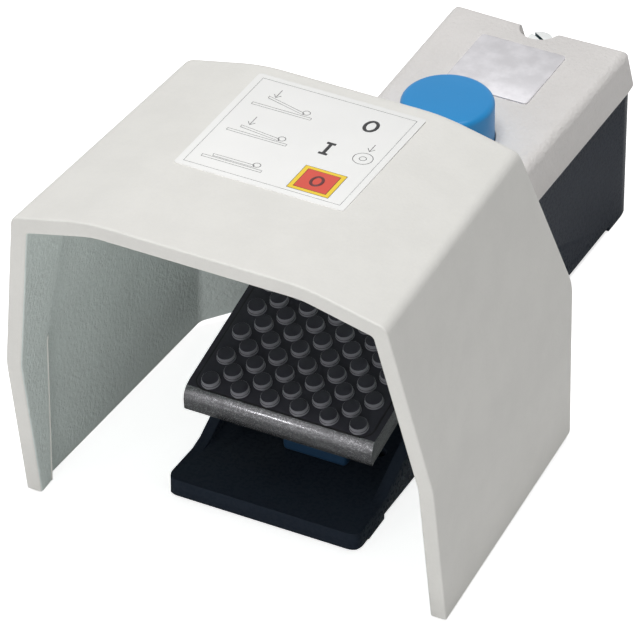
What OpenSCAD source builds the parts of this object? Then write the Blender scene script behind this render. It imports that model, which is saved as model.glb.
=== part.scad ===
// Guarded industrial foot switch: cast base and housing, sheet hood over the pedal,
// plunger-driven contact blocks and a latch that the blue knob releases.
// Millimetres. +Z up, the pedal's toe end at -Y, the cable entry at +Y.

/* [Hood] */
// Half width of the guard hood at its foot
hood_half = 80; // [76:1:86]
// Height of the hood's front edge
hood_top = 142; // [138:1:146]
// Wall of the hood
hood_wall = 3; // [2.5:0.5:4]
// Thickness of the hood's front rim
hood_rim = 6; // [5:0.5:7]

/* [Base] */
// Half of the overall length
half_len = 136.5; // [136:0.5:138]
// Half width of the housing box
box_half = 33.65; // [33:0.05:34.5]
// Wall of the housing box
box_wall = 3.5; // [3:0.25:4]
// Height of the housing's rim, where the lid sits
box_top = 54.5; // [54:0.5:56]
// Top of the base plate
plate_top = 7.4; // [7:0.2:8]
// Height of the foot pads
pad_h = 2; // [1.5:0.5:2.5]
// Radius of the mounting holes
mount_r = 2.75; // [2.25:0.25:3.25]

/* [Lid and knob] */
// Top of the lid
lid_top = 73.3; // [73:0.1:75]
// Radius of the release knob
knob_r = 16.8; // [16:0.1:17]
// Top of the release knob at rest
knob_top = 89.2; // [88:0.2:92]

/* [Pedal] */
// Half width of the pedal
pedal_half = 36; // [35.5:0.1:36.1]
// Slope of the pedal at rest, in degrees
pedal_tilt = 14; // [13:0.5:15]
// Thickness of the pedal
pedal_h = 8; // [7:0.5:8]
// Radius of the hinge pin
pin_r = 4; // [3.5:0.5:4]

/* [Fits] */
// Radial clearance of a running shaft
run_gap = 0.05; // [0.02:0.01:0.1]
// Radial clearance of a fixed shank in its hole
shank_gap = 0.05; // [0.02:0.01:0.1]
// Gap between parts that move past each other
free_gap = 0.3; // [0.2:0.1:0.5]

/* [Hidden] */
$fn = 48;
cut = 1;

// Hinge and pedal
hinge_y = 4;
hinge_z = 50;
toe_y = -78.6;
toe_z = 37.3;
tray_len = (hinge_y - toe_y) * cos(pedal_tilt) + (hinge_z - toe_z) * sin(pedal_tilt);
wide_len = 62;
lip_r = 3.5;
lip_foot = [-1.4, -8.4];
stop_x = [-8.5, 16];
stop_y = [-58.6, -48.6];
stop_top = 23.1;
tray_half = 31.4;
barrel_half = tray_half + 0.3;
bush_len = 12;
barrel_r = 7;
bush_r = 5.5;
nose_z = 32;
mat_half = 31.8;
mat_front = 2.6;
mat_len = 72;
mat_t = 1.5;
stud_r = 3.1;
stud_h = 2.5;
stud_pitch = 11.3;
stud_row = 5.9;
stud_rows = 12;

// Base casting
base_half = 36.1;
base_front = -87.5;
cheek_t = 4;
cheek_front = -71;
box_front = 14;
box_rear = half_len - 0.7;
rear_pad = box_rear - 15.8;
corner_r = 6;
cavity_front = 18;
floor_z = plate_top;
ear_r = 8.5;
mount_x = 22;
mount_front = -45;
mount_rear = 112;
gland_r = 9.25;
gland_z = 26;

// Plunger line
plunger_z = nose_z;
plunger_front = hinge_y + 4 + free_gap;
plunger_r = 4;
collar_y = 30;
yoke_y = 62;
block_y = 72;
block_len = 34;
block_x = 16;
block_half = 12;
block_low = 12;
block_high = 44;
block_screw_x = [8, 24];
block_screw_y = block_y + 30.5;
screw_foot = 9.5;
contact_x = [-6.25, 6.25];
terminal_y = [79.4, 94.4];
blade_y = [82.4, 90.1];
blade_t = 1.3;
strip_t = 1.2;
bridge_y = 84;

// Knob and latch
knob_y = 52.3;
stem_r = 4;
guide_low = 58;
latch_y = 40;
latch_z = 50;
latch_pin_r = 2;
bracket_t = 1.6;
bracket_screw_x = 10.8;
bracket_screw_z = 47;
lid_under = lid_top - 3;
lid_screw = [0, half_len - 7.1];
lid_rear = half_len - 8;
lid_cavity_rear = half_len - 5.5;
lid_cavity_half = 31;
front_screws = [[-24, 28], [24, 28]];

// Flat top of the hood and the sheet on it
flat_rear = -23;
flat_len = half_len + flat_rear;
flat_fall = 3.5;
label_back = 76.2;
label_half = [31.3, 31.1];

// Hood stations: half outlines of flat edge, shoulder, fold and foot
function rim_y(z) = -half_len + 0.18 * (hood_top - z);
function at_rim(x, z) = [x, rim_y(z), z];
hood_outer = [
    [at_rim(39.7, hood_top), at_rim(68.5, hood_top - 8), at_rim(hood_half, 62.6), at_rim(hood_half, pad_h)],
    [[33.5, flat_rear, hood_top - flat_fall], [62.4, flat_rear, hood_top - 10.1], [73.9, -1.2, 67.3],
        [73.9, 0.6, 3.6]],
    [[33.5, 18, 76.5], [36.9, 30, 66], [36.65, 43.9, 50], [36.65, 43.9, 6]]];
hood_inner = [
    [[37, -104, 138], [64.2, -104, 130.4], [76.2, -104, 63], [76.2, -104, -5]],
    [[32.4, -25.6, 135], [59.7, -25, 129], [70.9, -2.6, 66.2], [70.9, -0.8, -5]],
    [[30.4, 14.5, 72.3], [32, 26, 62], [33, 42, 48], [33, 42, -5]]];
rim_inner = [
    [[38.2, -half_len - cut, hood_top - 6.6], [63.2, -half_len - cut, hood_top - 13.6],
        [hood_half - hood_rim, -half_len - cut, 62.2], [hood_half - hood_rim, -half_len - cut, -5]],
    [[38.2, -104, hood_top - 6.6], [62.6, -104, hood_top - 13.6],
        [hood_half - hood_rim, -104, 62.2], [hood_half - hood_rim, -104, -5]]];
flange_y = [38, 54];
flange_z = [6, 38];
hood_screw_at = [[49, 13], [49, 31]];

// Solid through a list of half outlines, mirrored about X = 0
module loft(stations) {
    n = len(stations[0]);
    ring = 2 * n;
    count = len(stations);
    points = [for (s = stations) each concat(s, [for (i = [n - 1:-1:0]) [-s[i][0], s[i][1], s[i][2]]])];
    sides = [for (k = [0:count - 2], i = [0:ring - 1])
        let (a = k * ring + i, b = k * ring + (i + 1) % ring)
        each i < n ? [[a, b, a + ring], [b, b + ring, a + ring]] : [[a, b, b + ring], [a, b + ring, a + ring]]];
    function cap(first, flip) = [for (i = [0:n - 2])
        let (q = [first + i, first + i + 1, first + ring - 2 - i, first + ring - 1 - i])
        flip ? [q[3], q[2], q[1], q[0]] : q];
    faces = concat(sides, cap(0, true), cap((count - 1) * ring, false));
    polyhedron(points = points, faces = [for (f = faces) [for (i = [len(f) - 1:-1:0]) f[i]]]);
}

module mirrored() {
    children();
    mirror([1, 0, 0]) children();
}

// Cylinder along X, centred on X = 0
module x_rod(r, len, y, z)
    translate([0, y, z]) rotate([0, 90, 0]) rotate([0, 0, 90]) cylinder(r = r, h = len, center = true);

// Cylinder along Y from y0 to y1
module y_rod(r, y0, y1, x, z) translate([x, y0, z]) rotate([-90, 0, 0]) cylinder(r = r, h = y1 - y0);

// Box from corner to corner
module block(a, b) translate(a) cube(b - a);

// Upright box with rounded vertical edges at the +Y end
module rear_rounded(half, y0, y1, z0, z1, r) {
    block([-half, y0, z0], [half, y1 - r, z1]);
    block([-half + r, y0, z0], [half - r, y1, z1]);
    for (x = [-half + r, half - r]) translate([x, y1 - r, z0]) cylinder(r = r, h = z1 - z0);
}

// Screw along +Z with its head's underside at z = 0
module slotted_screw(head_r, head_h, shank_r, shank_len) {
    difference() {
        cylinder(r = head_r, h = head_h);
        translate([-head_r - cut, -0.6, head_h - 1.2]) cube([2 * head_r + 2 * cut, 1.2, 1.2 + cut]);
    }
    translate([0, 0, -shank_len]) cylinder(r = shank_r, h = shank_len);
}

// Lies in the plane of the pedal: u back from the toe, w up from its top
module on_pedal() translate([0, toe_y, toe_z]) rotate([pedal_tilt, 0, 0]) children();

module base_plate() {
    plate_r = 4;
    hull() {
        for (x = [-base_half + plate_r, base_half - plate_r])
            translate([x, base_front + plate_r, pad_h]) cylinder(r = plate_r, h = plate_top - pad_h);
        block([-base_half, 0, pad_h], [base_half, box_front, plate_top]);
    }
    block([-base_half + 4, base_front + 4, 0], [base_half - 4, -68.2, pad_h]);
    block([-base_half, base_front + 8, 0], [base_half, -68.2, pad_h]);
}

module cheek() {
    translate([base_half - cheek_t, 0, 0]) rotate([90, 0, 90]) linear_extrude(cheek_t)
        polygon([[cheek_front, 4], [cheek_front, plate_top], [cheek_front + 5, plate_top + 1.4],
            [cheek_front + 9, plate_top + 3.8], [-4.5, 38.5], [-4.5, hinge_z],
            [12.5, hinge_z], [box_front, box_top], [box_front, 4]]);
    translate([base_half - cheek_t, hinge_y, hinge_z]) rotate([0, 90, 0]) cylinder(r = ear_r, h = cheek_t);
    block([base_half - cheek_t - 3, box_front, pad_h], [base_half, box_front + 8, box_top - 1.5]);
}

module housing_shell() {
    difference() {
        union() {
            rear_rounded(box_half, box_front, box_rear, pad_h, box_top, corner_r);
            rear_rounded(box_half, rear_pad, box_rear, 0, pad_h, corner_r);
        }
        difference() {
            rear_rounded(box_half - box_wall, cavity_front, box_rear - box_wall, floor_z, box_top + cut,
                corner_r - box_wall);
            housing_bosses();
        }
    }
}

// Bosses that stand inside the housing: plunger, lid screws, contact blocks, cable entry, hood screws
module housing_bosses() {
    y_rod(8, box_front, 24, 0, plunger_z);
    block([-4, 54, floor_z], [4, 57, plunger_z + 8]);
    y_rod(8, 54, 57, 0, plunger_z);
    y_rod(gland_r + 3, box_rear - 9, box_rear, 0, gland_z);
    translate([lid_screw[0], lid_screw[1], 40]) cylinder(r = 5, h = box_top - 40);
    for (p = front_screws) block([p[0] - 6, cavity_front - 1, 36], [p[0] + 6, p[1] + 5, box_top]);
    mirrored() block([block_x - block_half, block_y, floor_z], [block_x + block_half, block_y + block_len, block_low]);
    mirrored() for (p = hood_screw_at) translate([box_half - 9, p[0], p[1]]) rotate([0, 90, 0]) cylinder(r = 5, h = 8);
    translate([-22, 62, floor_z]) cylinder(r = 5, h = 6);
}

module base_housing() {
    screw_hole = 2 + shank_gap;
    color([0.07, 0.09, 0.13]) difference() {
        union() {
            base_plate();
            mirrored() cheek();
            housing_shell();
        }
        x_rod(pin_r + 0.01, 90, hinge_y, hinge_z);
        y_rod(6 + 0.01, box_front - cut, 24 + cut, 0, plunger_z);
        y_rod(plunger_r + 0.3, 50, 60, 0, plunger_z);
        y_rod(gland_r, box_rear - 12, box_rear + cut, 0, gland_z);
        mirrored() for (y = [mount_front, mount_rear])
            translate([mount_x, y, -cut]) cylinder(r = mount_r, h = plate_top + 2 * cut);
        translate([lid_screw[0], lid_screw[1], 42]) cylinder(r = 2.5 + shank_gap, h = 20);
        for (p = front_screws) translate([p[0], p[1], 42]) cylinder(r = 2 + shank_gap, h = 20);
        mirrored() for (p = hood_screw_at)
            translate([box_half - 10, p[0], p[1]]) rotate([0, 90, 0]) cylinder(r = 2.5 + shank_gap, h = 12);
        mirrored() for (x = block_screw_x)
            translate([x, block_screw_y, screw_foot - 0.5]) cylinder(r = 1.75 + shank_gap, h = 6);
        translate([-22, 62, 8.5]) cylinder(r = screw_hole, h = 6);
        mirrored() y_rod(1.5 + shank_gap, box_front + 1, 20, bracket_screw_x, bracket_screw_z);
        gasket(0.01);
    }
}

// Ring that lies in a groove of the housing rim; grow widens it
module gasket(grow) {
    difference() {
        rear_rounded(box_half - 0.9 + grow, cavity_front - 2.9, box_rear - 0.9 + grow, box_top - 1.2, box_top,
            corner_r - 1);
        translate([0, 0, -cut]) rear_rounded(box_half - 2.6 - grow, cavity_front - 1.2, box_rear - 2.6 - grow,
            box_top - 1.2, box_top + 2 * cut, corner_r - 2.6);
    }
}

module lid_gasket() color([0.1, 0.1, 0.1]) gasket(0);

module lid_body() {
    low = 34.7;
    high = 36.85 - 4;
    hull() {
        for (x = [-low + corner_r, low - corner_r])
            translate([x, half_len - corner_r, box_top]) cylinder(r = corner_r, h = 1, $fn = 32);
        block([-low, box_front, box_top], [low, box_front + 1, box_top + 1]);
        for (x = [-high + 3, high - 3]) {
            translate([x, lid_rear - 3, lid_top - 4]) sphere(r = 4, $fn = 32);
            translate([x, box_front + 5, lid_top - 4]) sphere(r = 4, $fn = 32);
        }
    }
}

module housing_lid() {
    color([0.87, 0.87, 0.85]) difference() {
        lid_body();
        difference() {
            union() {
                rear_rounded(lid_cavity_half, cavity_front, lid_cavity_rear, box_top - cut, 60, 4);
                rear_rounded(lid_cavity_half - 1.5, cavity_front, lid_cavity_rear - 7, box_top, lid_under, 4);
            }
            translate([lid_screw[0], lid_screw[1], box_top - cut]) cylinder(r = 10.3, h = 30);
            block([-10.3, lid_screw[1], box_top - cut], [10.3, lid_cavity_rear + 2, 90]);
            for (p = front_screws) translate([p[0], p[1], box_top - cut]) cylinder(r = 6, h = 30);
        }
        translate([0, knob_y, 40]) cylinder(r = 18.3, h = 60);
        translate([lid_screw[0], lid_screw[1], 64.7]) cylinder(r = 7.8, h = 30);
        translate([lid_screw[0], lid_screw[1], 40]) cylinder(r = 2.7, h = 60);
        for (p = front_screws) {
            translate([p[0], p[1], 40]) cylinder(r = 2.2, h = 60);
            translate([p[0], p[1], lid_top - 3]) cylinder(r = 4.4, h = 20);
        }
    }
}

module lid_screws() {
    color([0.75, 0.73, 0.68]) {
        translate([lid_screw[0], lid_screw[1], 64.7]) slotted_screw(4.5, 4, 2.5, 21);
        for (p = front_screws) translate([p[0], p[1], lid_top - 3]) slotted_screw(3.8, 2.6, 2, 26);
    }
}

module name_plate() {
    plate_r = 1.5;
    color([0.8, 0.8, 0.81]) hull() for (x = [-16.7 + plate_r, 16.7 - plate_r], y = [82 + plate_r, 116 - plate_r])
        translate([x, y, lid_top]) cylinder(r = plate_r, h = 0.5, $fn = 32);
}

module hood() {
    color([0.88, 0.88, 0.86]) difference() {
        union() {
            difference() {
                loft(hood_outer);
                loft(hood_inner);
                loft(rim_inner);
            }
            mirrored() block([box_half, flange_y[0], flange_z[0]], [box_half + hood_wall, flange_y[1], flange_z[1]]);
        }
        block([-box_half, box_front - 30, -10], [box_half, 80, box_top]);
        block([-34.7, box_front - 30, box_top], [34.7, 80, lid_top]);
        mirrored() for (p = hood_screw_at)
            translate([box_half - 1, p[0], p[1]]) rotate([0, 90, 0]) cylinder(r = 2.75, h = 8);
    }
}

// Thin sheet on the hood's flat top, which falls from its front edge to its rear edge
module hood_label() {
    fall = atan2(flat_fall, flat_len);
    sheet_r = 1.2;
    color([0.94, 0.94, 0.93]) translate([0, label_back - half_len, hood_top - flat_fall * label_back / flat_len])
        rotate([-fall, 0, 0])
        hull() for (x = [-1, 1], y = [-1, 1])
            translate([x * (label_half[0] - sheet_r), y * (label_half[1] - sheet_r), 0])
                cylinder(r = sheet_r, h = 0.25);
}

module hood_screws() {
    color([0.75, 0.73, 0.68]) mirrored() for (p = hood_screw_at)
        translate([box_half + hood_wall, p[0], p[1]]) rotate([0, 90, 0]) slotted_screw(4.5, 3, 2.5, 11);
}

module hinge_pin() color([0.72, 0.72, 0.7]) x_rod(pin_r, 76, hinge_y, hinge_z);

module pin_clips() {
    color([0.5, 0.5, 0.48]) mirrored() translate([base_half, hinge_y, hinge_z]) rotate([0, 90, 0])
        difference() {
            cylinder(r = pin_r + 2.6, h = 1);
            translate([0, 0, -cut]) cylinder(r = pin_r + 0.01, h = 3);
            translate([-1.6, pin_r - 1, -cut]) cube([3.2, 6, 3]);
        }
}

module plunger_bush() {
    color([0.78, 0.62, 0.3]) difference() {
        y_rod(6, box_front, 24, 0, plunger_z);
        y_rod(plunger_r + run_gap, box_front - cut, 24 + cut, 0, plunger_z);
    }
}

module plunger_seal() {
    color([0.08, 0.08, 0.08]) difference() {
        y_rod(7.5, box_front - 1.6, box_front, 0, plunger_z);
        y_rod(plunger_r + run_gap, box_front - 3, box_front + cut, 0, plunger_z);
    }
}

module contact_block() {
    difference() {
        block([block_x - block_half, block_y, block_low], [block_x + block_half, block_y + block_len, block_high]);
        block([block_x - 9, 78, 20], [block_x + 9, 98, 40]);
        y_rod(2.5 + run_gap, block_y - cut, 79, block_x, plunger_z);
        for (x = contact_x, y = blade_y)
            block([block_x + x - 1.85, y - 0.1, 39], [block_x + x + 1.85, y + blade_t + 0.1, block_high + cut]);
        for (x = block_screw_x) translate([x, block_screw_y, 0]) cylinder(r = 1.75 + shank_gap, h = 60);
        for (x = contact_x, y = terminal_y)
            translate([block_x + x, y, 40]) cylinder(r = 1.5 + shank_gap, h = 10);
    }
}

module contact_block_right() color([0.72, 0.7, 0.62]) contact_block();

module contact_block_left() color([0.72, 0.7, 0.62]) mirror([1, 0, 0]) contact_block();

// Angle strips: the blade hangs in the block and the foot lies under its terminal screw
module fixed_contacts() {
    color([0.8, 0.65, 0.25]) mirrored() for (x = contact_x, i = [0, 1]) {
        blade = blade_y[i];
        foot = i == 0 ? [terminal_y[0] - 3, blade + blade_t] : [blade, terminal_y[1] + 3];
        difference() {
            union() {
                block([block_x + x - 1.75, blade, 29], [block_x + x + 1.75, blade + blade_t, block_high + strip_t]);
                block([block_x + x - 3, foot[0], block_high], [block_x + x + 3, foot[1], block_high + strip_t]);
            }
            translate([block_x + x, terminal_y[i], 40]) cylinder(r = 1.5 + shank_gap, h = 10);
        }
    }
}

module terminal_screws() {
    color([0.75, 0.73, 0.68]) mirrored() for (x = contact_x, y = terminal_y)
        translate([block_x + x, y, block_high + strip_t]) slotted_screw(2.8, 2, 1.5, 5);
}

module block_screws() {
    color([0.75, 0.73, 0.68]) mirrored() for (x = block_screw_x)
        translate([x, block_screw_y, block_high]) slotted_screw(3, 2.2, 1.75, block_high - screw_foot);
}

module earth_screw() color([0.75, 0.73, 0.68]) translate([-22, 62, floor_z + 6]) slotted_screw(4, 2.5, 2, 4.5);

module latch_bracket() {
    color([0.7, 0.7, 0.7]) difference() {
        union() {
            block([-14, cavity_front, 43], [14, cavity_front + bracket_t, 53.8]);
            mirrored() block([6, cavity_front, 44.5], [6 + bracket_t, latch_y + 4, 53.8]);
        }
        x_rod(latch_pin_r + 0.01, 30, latch_y, latch_z);
        mirrored() y_rod(1.6, 10, 24, bracket_screw_x, bracket_screw_z);
    }
}

module latch_pin() color([0.72, 0.72, 0.7]) x_rod(latch_pin_r, 17, latch_y, latch_z);

module bracket_screws() {
    color([0.75, 0.73, 0.68]) mirrored()
        translate([bracket_screw_x, cavity_front + bracket_t, bracket_screw_z]) rotate([-90, 0, 0])
            slotted_screw(2.6, 1.8, 1.5, 4.4);
}

// Cup under the lid: the knob dips into it and the stem runs through its floor
module knob_guide() {
    color([0.75, 0.75, 0.72]) difference() {
        translate([0, knob_y, guide_low]) cylinder(r = 20.5, h = lid_under - guide_low);
        translate([0, knob_y, guide_low + 3]) cylinder(r = 18.3, h = 20);
        translate([0, knob_y, guide_low - cut]) cylinder(r = stem_r + run_gap, h = 6);
    }
}

module knob_seal() {
    color([0.06, 0.06, 0.06]) difference() {
        translate([0, knob_y, lid_under]) cylinder(r = 18.3, h = 3.7);
        translate([0, knob_y, lid_under - cut]) cylinder(r = knob_r + free_gap, h = 6);
    }
}

// Blue buffer on the plate that stops the pedal's front at full travel
module pedal_stop() {
    color([0.1, 0.3, 0.6]) block([stop_x[0], stop_y[0], plate_top], [stop_x[1], stop_y[1], stop_top]);
}

module pedal_plate() {
    lip = [for (a = [180:-15:90]) [lip_r + lip_r * cos(a), -lip_r + lip_r * sin(a)]];
    color([0.2, 0.2, 0.22]) difference() {
        union() {
            on_pedal() difference() {
                union() {
                    translate([-pedal_half, 0, 0]) rotate([90, 0, 90]) linear_extrude(2 * pedal_half)
                        polygon(concat([[wide_len, 0], [wide_len, -pedal_h], [0, -pedal_h], lip_foot], lip));
                    block([-tray_half, wide_len - 1, -pedal_h], [tray_half, tray_len, 0]);
                }
                block([-mat_half, mat_front, -mat_t], [mat_half, wide_len - 2, cut]);
                block([-tray_half + 2.5, wide_len - 4, -mat_t], [tray_half - 2.5, mat_len, cut]);
                block([-pedal_half + 3, 7, -pedal_h - cut], [pedal_half - 3, wide_len - 3, -4]);
            }
            x_rod(barrel_r, 2 * barrel_half, hinge_y, hinge_z);
            x_rod(4, 10, hinge_y, nose_z);
            block([-4.5, hinge_y - 3.2, nose_z], [4.5, hinge_y + 3.2, hinge_z - 4]);
        }
        x_rod(bush_r + 0.01, 80, hinge_y, hinge_z);
    }
}

module pedal_bushes() {
    color([0.78, 0.62, 0.3]) mirrored() translate([barrel_half - bush_len, hinge_y, hinge_z]) rotate([0, 90, 0])
        difference() {
            cylinder(r = bush_r, h = bush_len);
            translate([0, 0, -cut]) cylinder(r = pin_r + run_gap, h = bush_len + 2 * cut);
        }
}

module pedal_mat() {
    color([0.16, 0.16, 0.18]) on_pedal() {
        block([-mat_half + 0.05, mat_front + 0.05, -mat_t], [mat_half - 0.05, wide_len - 2.05, 0.2]);
        block([-tray_half + 2.55, wide_len - 3, -mat_t], [tray_half - 2.55, mat_len - 0.05, 0.2]);
        for (row = [0:stud_rows - 2]) {
            studs = row % 2 == 0 ? 6 : 5;
            half = row * stud_row + 6 > wide_len - 6 ? studs - 2 : studs;
            for (i = [0:half - 1])
                translate([(i - (half - 1) / 2) * stud_pitch, 6 + row * stud_row, 0])
                    cylinder(r = stud_r, h = stud_h);
        }
    }
}

module plunger() {
    color([0.72, 0.72, 0.7]) {
        y_rod(plunger_r, plunger_front, yoke_y, 0, plunger_z);
        y_rod(7, collar_y, collar_y + 4, 0, plunger_z);
    }
}

// Cross bar on the plunger's end with one tappet for each contact block
module plunger_yoke() {
    color([0.85, 0.83, 0.76]) {
        block([-20, yoke_y, 27.5], [20, yoke_y + 4, 36.5]);
        mirrored() y_rod(2.5, yoke_y + 4, bridge_y, block_x, plunger_z);
    }
}

module contact_bridges() {
    color([0.8, 0.65, 0.25]) mirrored() block([block_x - 8.2, bridge_y, 29], [block_x + 8.2, bridge_y + 2, 35]);
}

module release_knob() {
    edge = 2;
    color([0.12, 0.5, 0.8]) difference() {
        union() {
            translate([0, knob_y, 66]) cylinder(r = knob_r, h = knob_top - edge - 66);
            translate([0, knob_y, 66]) cylinder(r = knob_r - edge, h = knob_top - 66);
            translate([0, knob_y, knob_top - edge]) rotate_extrude()
                translate([knob_r - edge, 0]) circle(r = edge);
        }
        translate([0, knob_y, 60]) cylinder(r = knob_r - 2.5, h = 25);
    }
}

module knob_stem() {
    color([0.72, 0.72, 0.7]) {
        translate([0, knob_y, 52.9]) difference() {
            cylinder(r = stem_r, h = 85 - 52.9);
            translate([0, 0, 3.7]) difference() {
                cylinder(r = 10, h = 1);
                translate([0, 0, -cut]) cylinder(r = 3.2, h = 3);
            }
        }
        translate([0, knob_y, 52.5]) cylinder(r = 1.5, h = 1);
    }
}

module stem_circlip() {
    color([0.5, 0.5, 0.48]) translate([0, knob_y, 56.65]) difference() {
        cylinder(r = 6.2, h = 0.9);
        translate([0, 0, -cut]) cylinder(r = 3.25, h = 3);
        translate([-1.6, 0, -cut]) cube([3.2, 10, 3]);
    }
}

module latch_lever() {
    color([0.6, 0.6, 0.6]) difference() {
        union() {
            translate([-5, 0, 0]) rotate([90, 0, 90]) linear_extrude(10)
                polygon([[30.2, 39.3], [33.2, 39.3], [35.5, 45.5], [42, 46], [49, 49], [56, 49.4],
                    [56, 52.2], [46, 52.2], [40, 53.5], [34, 50], [30.2, 44]]);
            x_rod(4, 10, latch_y, latch_z);
        }
        x_rod(latch_pin_r + run_gap, 30, latch_y, latch_z);
    }
}

// Stack of rings that stands for a coil of the same outer and inner size
module coil(outer, wire, length, turns) {
    pitch = (length - 2 * wire) / (turns - 1);
    for (i = [0:turns - 1]) translate([0, 0, wire + i * pitch]) rotate_extrude($fn = 32)
        translate([outer - wire, 0]) circle(r = wire, $fn = 16);
    for (a = [0, 180]) rotate([0, 0, a]) translate([outer - wire, 0, wire])
        cylinder(r = wire * 0.8, h = length - 2 * wire, $fn = 16);
}

module plunger_spring() {
    color([0.6, 0.6, 0.6]) translate([0, collar_y + 4 + 0.05, plunger_z]) rotate([-90, 0, 0])
        coil(6.6, 0.6, 15.9, 6);
}

module knob_spring() {
    color([0.6, 0.6, 0.6]) translate([0, knob_y, guide_low + 3.05]) coil(8.5, 0.6, 23.9, 7);
}

base_housing();
housing_lid();
lid_gasket();
lid_screws();
name_plate();
hood();
hood_label();
hood_screws();
hinge_pin();
pin_clips();
plunger_bush();
plunger_seal();
contact_block_left();
contact_block_right();
fixed_contacts();
terminal_screws();
block_screws();
earth_screw();
latch_bracket();
latch_pin();
bracket_screws();
knob_guide();
knob_seal();
pedal_stop();
pedal_plate();
pedal_mat();
pedal_bushes();
plunger();
plunger_yoke();
contact_bridges();
release_knob();
knob_stem();
stem_circlip();
latch_lever();
plunger_spring();
knob_spring();
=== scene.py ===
import bmesh
import bpy
import math
from mathutils import Matrix, Vector


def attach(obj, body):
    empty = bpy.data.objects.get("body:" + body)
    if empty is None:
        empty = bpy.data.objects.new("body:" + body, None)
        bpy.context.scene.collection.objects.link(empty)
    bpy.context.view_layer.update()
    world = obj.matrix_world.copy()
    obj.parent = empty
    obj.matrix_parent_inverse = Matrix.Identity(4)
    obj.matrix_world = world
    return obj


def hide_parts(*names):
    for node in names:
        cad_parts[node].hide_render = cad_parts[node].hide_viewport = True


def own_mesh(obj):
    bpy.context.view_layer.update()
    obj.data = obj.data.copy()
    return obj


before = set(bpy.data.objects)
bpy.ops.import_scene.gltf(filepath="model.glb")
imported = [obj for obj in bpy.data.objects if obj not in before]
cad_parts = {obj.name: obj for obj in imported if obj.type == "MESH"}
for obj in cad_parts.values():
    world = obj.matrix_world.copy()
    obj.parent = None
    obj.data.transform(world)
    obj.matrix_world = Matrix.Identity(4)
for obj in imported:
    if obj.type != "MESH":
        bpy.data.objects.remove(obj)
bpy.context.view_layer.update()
print("frame loaded:", len(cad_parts), "nodes")

mm = 0.001


# A shader socket that sums and products can be written with
class Wire:
    def __init__(self, tree, socket):
        self.tree = tree
        self.socket = socket

    def maths(self, operation, other, swapped=False):
        step = self.tree.nodes.new("ShaderNodeMath")
        step.operation = operation
        pair = [other, self] if swapped else [self, other]
        for inlet, value in zip(step.inputs, pair):
            plug(self.tree, inlet, value)
        return Wire(self.tree, step.outputs[0])

    def __add__(self, other): return self.maths("ADD", other)
    def __radd__(self, other): return self.maths("ADD", other)
    def __sub__(self, other): return self.maths("SUBTRACT", other)
    def __rsub__(self, other): return self.maths("SUBTRACT", other, True)
    def __mul__(self, other): return self.maths("MULTIPLY", other)
    def __rmul__(self, other): return self.maths("MULTIPLY", other)
    def __gt__(self, other): return self.maths("GREATER_THAN", other)


def plug(tree, inlet, value):
    if isinstance(value, Wire):
        tree.links.new(value.socket, inlet)
    elif value is not None:
        inlet.default_value = value


socketWords = {"baseColor": "Base Color", "specular": "Specular IOR Level", "coatWeight": "Coat Weight",
               "coatRoughness": "Coat Roughness", "sheenWeight": "Sheen Weight", "sheenRoughness": "Sheen Roughness",
               "emissionColor": "Emission Color", "emissionStrength": "Emission Strength"}


# One material: set fills the shader's sockets, node adds any other node
class Finish:
    def __init__(self, name, **constants):
        self.material = bpy.data.materials.new(name)
        self.material.use_nodes = True
        self.tree = self.material.node_tree
        self.shader = self.tree.nodes["Principled BSDF"]
        self.set(**constants)

    def set(self, **sockets):
        for name, value in sockets.items():
            plug(self.tree, self.shader.inputs[socketWords.get(name, name.capitalize())], value)

    def node(self, kind, settings=None, values=None, out=0):
        made = self.tree.nodes.new("ShaderNode" + kind)
        for name, value in (settings or {}).items():
            setattr(made, name, value)
        for name, value in (values or {}).items():
            plug(self.tree, made.inputs[name], value)
        return Wire(self.tree, made.outputs[out])

    def place(self):
        return self.node("TexCoord", out=3)

    def noise(self, scale, detail=3.0, roughness=0.5, place=None):
        return self.node("TexNoise", None, {"Vector": place or self.place(), "Scale": scale, "Detail": detail,
                                            "Roughness": roughness})

    def cells(self, scale, out=0):
        return self.node("TexVoronoi", {"feature": "F1"}, {"Vector": self.place(), "Scale": scale}, out)

    def mix(self, factor, a, b):
        return self.node("Mix", {"data_type": "RGBA"}, {0: factor, 6: a, 7: b}, out=2)

    def ramp(self, value, low, high):
        return self.node("MapRange", {"interpolation_type": "SMOOTHSTEP"},
                         {"Value": value, "From Min": low, "From Max": high})

    def bump(self, height, distance):
        self.set(Normal=self.node("Bump", None, {"Height": height, "Distance": distance, "Strength": 1.0}))
        return self


# A colour made lighter or darker
def scaled(colour, times, plus=0.0):
    return tuple(min(1.0, c * times + plus) for c in colour[:3]) + (1.0,)


# Powder coat with a fine orange peel; grain is the pitch of the peel in millimetres
def structurePaint(name, colour, grain, depth, wear=0.04):
    paint = Finish(name, roughness=0.5, specular=0.4)
    peel = paint.noise(1000 / grain, 3.0, 0.55)
    pores = paint.cells(1000 / (grain * 1.4))
    mottle = paint.noise(60, 4.0, 0.6)
    blotch = paint.ramp(mottle * 0.7 + peel * 0.3, 0.35, 0.65)
    paint.set(baseColor=paint.mix(blotch, scaled(colour, 1 - wear), colour),
              roughness=0.42 + peel * 0.22)
    return paint.bump(peel * 0.75 + pores * 0.25, depth * mm)


# Smooth dark enamel with a little dust on it
def glossCasting(name, colour, grain, depth):
    skin = Finish(name, roughness=0.3, specular=0.03)
    peel = skin.noise(1000 / grain, 3.0, 0.5)
    dust = skin.ramp(skin.noise(420, 6.0, 0.75), 0.62, 0.8)
    skin.set(baseColor=skin.mix(dust * 0.3, colour, scaled(colour, 1.5, 0.01)),
             roughness=0.2 + peel * 0.16 + dust * 0.15)
    return skin.bump(peel, depth * mm)


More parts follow.
